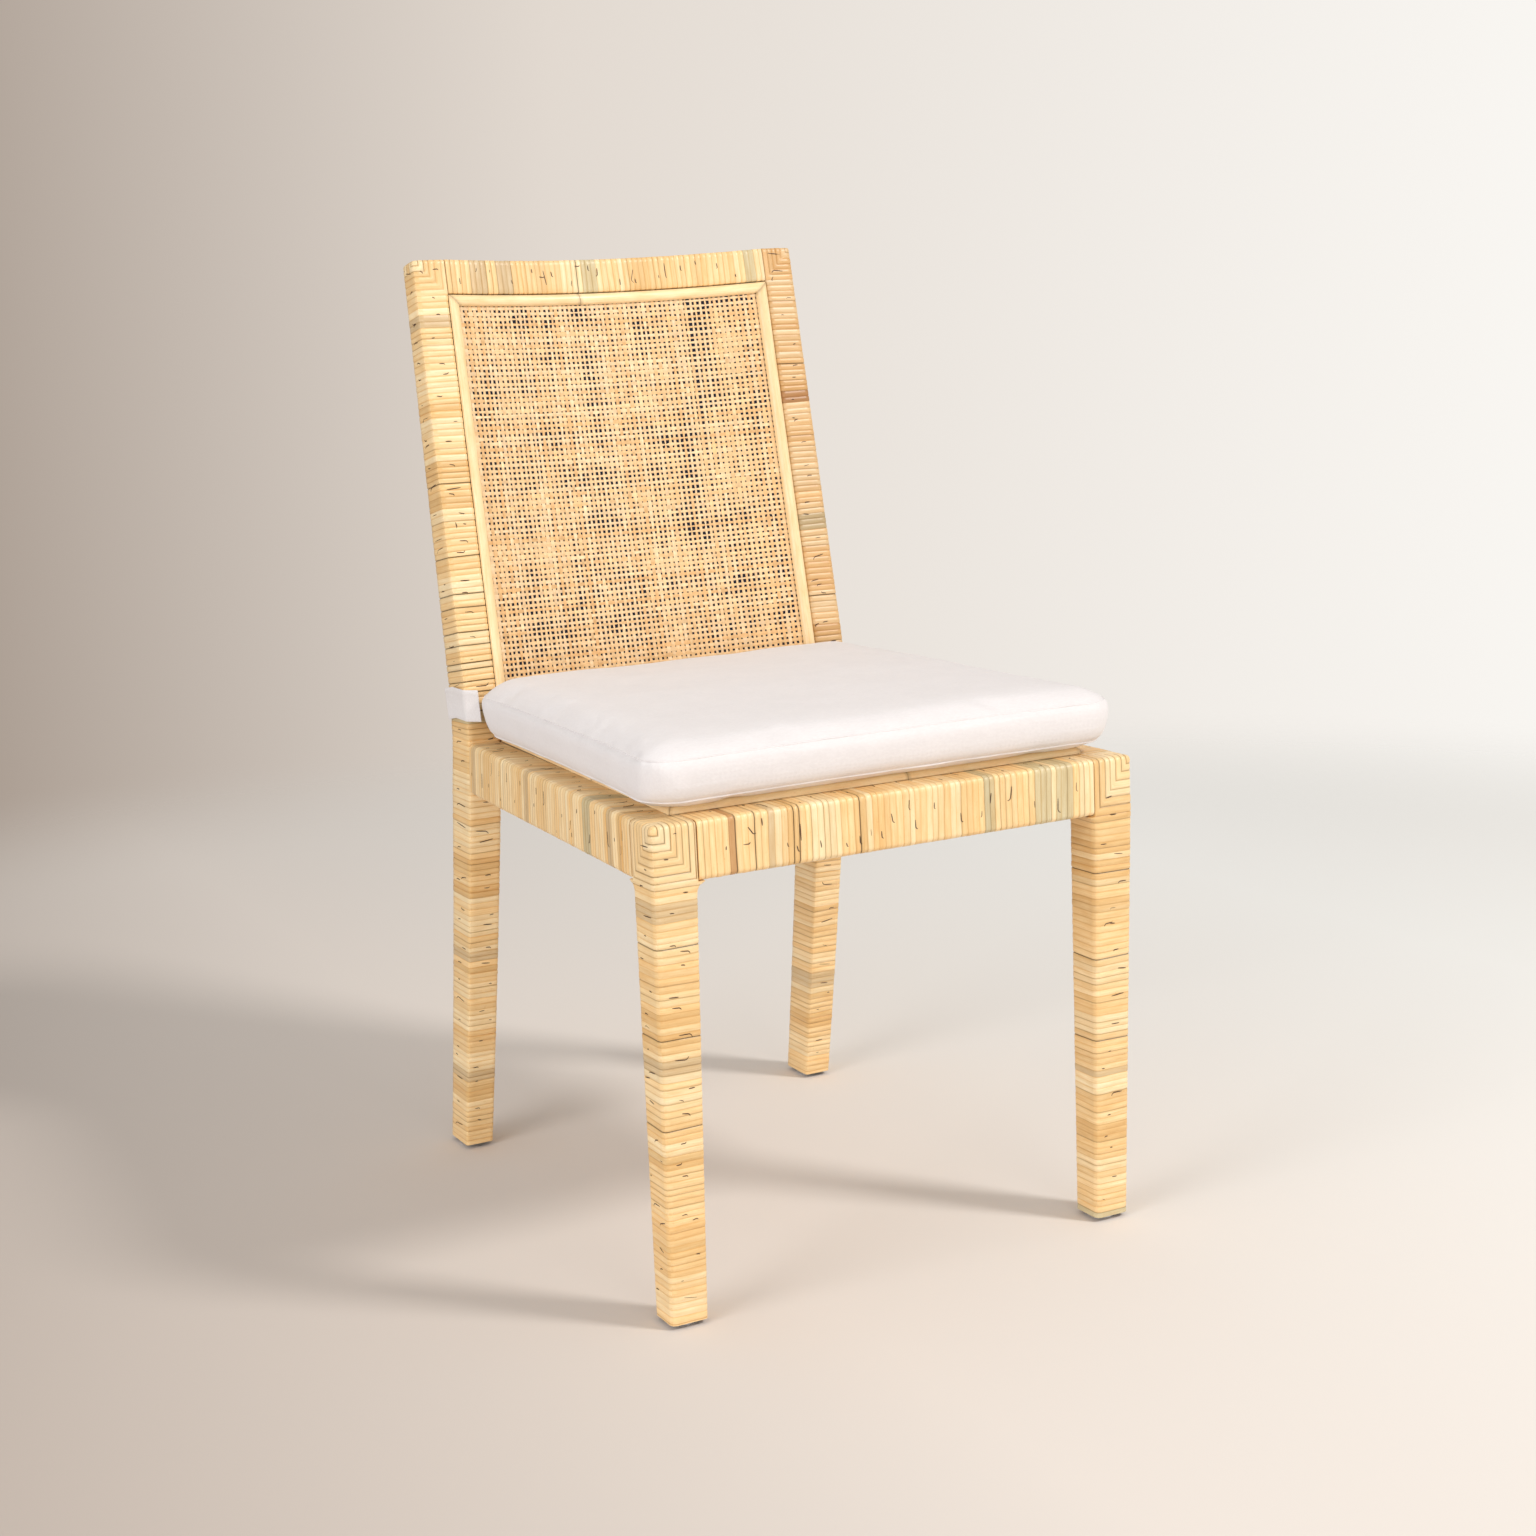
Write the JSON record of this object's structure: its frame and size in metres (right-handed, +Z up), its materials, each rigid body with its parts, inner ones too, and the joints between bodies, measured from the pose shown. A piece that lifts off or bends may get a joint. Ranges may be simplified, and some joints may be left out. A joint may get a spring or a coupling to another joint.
{
  "type": "side chair",
  "caption": "Armless side chair with a rattan-wrapped hardwood frame, bowed double cane back and a loose box seat cushion held by a strap.",
  "frame": {"origin": "on the floor, under the middle of the bounding box", "axes": "+Z up, front of the chair towards -Y, the sitter's right-to-left symmetric in X"},
  "size_m": [0.47, 0.5934, 0.895],
  "materials": {
    "hardwood": "matte",
    "rattan_peel": "satin",
    "cane": "satin",
    "rattan_core": "satin",
    "plywood": "matte",
    "cushion_cloth": "matte",
    "foam": "matte",
    "nylon": "satin",
    "glide_steel": "satin",
    "lining_cloth": "matte"
  },
  "bodies": {
    "frame": {"back_lining": "lining_cloth", "crest_rail_core": "hardwood", "crest_rail_wrap": "rattan_peel", "front_cane_net": "cane", "front_glide_left": "glide_steel", "front_glide_right": "glide_steel", "front_leg_core_left": "hardwood", "front_leg_core_right": "hardwood", "front_leg_wrap_left": "rattan_peel", "front_leg_wrap_right": "rattan_peel", "front_moulding_bottom": "rattan_core", "front_moulding_left": "rattan_core", "front_moulding_right": "rattan_core", "front_moulding_top": "rattan_core", "front_rail_core": "hardwood", "front_rail_wrap": "rattan_peel", "glue_block_front_left": "hardwood", "glue_block_front_right": "hardwood", "glue_block_rear_left": "hardwood", "glue_block_rear_right": "hardwood", "lower_back_rail_core": "hardwood", "lower_back_rail_wrap": "rattan_peel", "panel_frame_bottom": "hardwood", "panel_frame_left": "hardwood", "panel_frame_right": "hardwood", "panel_frame_top": "hardwood", "rear_cane_net": "cane", "rear_glide_left": "glide_steel", "rear_glide_right": "glide_steel", "rear_moulding_bottom": "rattan_core", "rear_moulding_left": "rattan_core", "rear_moulding_right": "rattan_core", "rear_moulding_top": "rattan_core", "rear_post_core_left": "hardwood", "rear_post_core_right": "hardwood", "rear_post_wrap_left": "rattan_peel", "rear_post_wrap_right": "rattan_peel", "rear_rail_core": "hardwood", "rear_rail_wrap": "rattan_peel", "seat_cane": "cane", "seat_deck": "plywood", "seat_moulding_front": "rattan_core", "seat_moulding_left": "rattan_core", "seat_moulding_rear": "rattan_core", "seat_moulding_right": "rattan_core", "side_rail_core_left": "hardwood", "side_rail_core_right": "hardwood", "side_rail_wrap_left": "rattan_peel", "side_rail_wrap_right": "rattan_peel"},
    "cushion": {"cushion_cover": "cushion_cloth", "cushion_foam": "foam", "cushion_zip": "nylon", "strap_left": "cushion_cloth", "strap_right": "cushion_cloth"}
  },
  "joints": [
    {"name": "cushion_lift", "type": "slide", "parent": "frame", "child": "cushion", "axis": [0, 0.1788, 0.9839], "range_m": [0, 0.46]}
  ]
}
